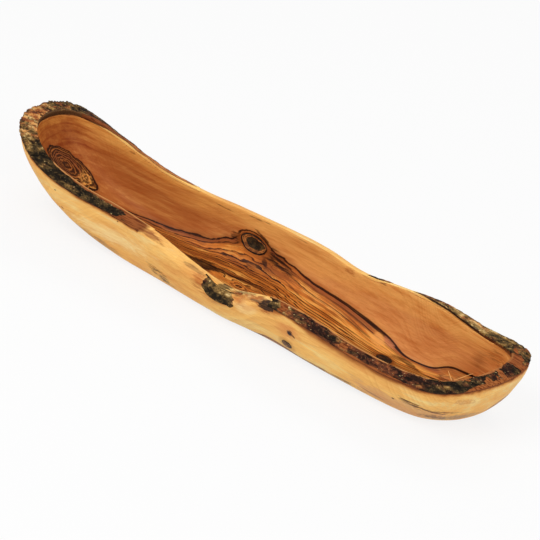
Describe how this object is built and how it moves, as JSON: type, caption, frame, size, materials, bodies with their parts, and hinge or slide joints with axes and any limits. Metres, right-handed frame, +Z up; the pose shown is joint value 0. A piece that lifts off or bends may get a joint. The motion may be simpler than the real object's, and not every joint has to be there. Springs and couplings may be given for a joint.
{
  "type": "dough bowl",
  "caption": "Long, narrow dough bowl carved from one branch of figured wood, with the natural bark edge left on its rim and dark knots in its hollow and front wall.",
  "frame": {"origin": "on the flat foot, below the middle of the bowl's length", "axes": "+X from the left (high) tip to the right tip along the bowl, +Y from front to back, +Z up"},
  "size_m": [0.45, 0.1019, 0.0727],
  "materials": {
    "carved_wood": "oiled satin",
    "bark": "rough, unfinished",
    "knot_wood": "oiled satin"
  },
  "bodies": {
    "root": {"bowl_body": "carved_wood", "bark_left_end": "bark", "bark_front_left": "bark", "bark_front_middle": "bark", "bark_front_right": "bark", "bark_right_end": "bark", "bark_back_right": "bark", "bark_back_nub": "bark", "bark_back_left": "bark", "wall_knot": "knot_wood", "floor_knot": "knot_wood", "front_knot_upper": "knot_wood", "front_knot_lower": "knot_wood"}
  },
  "joints": []
}
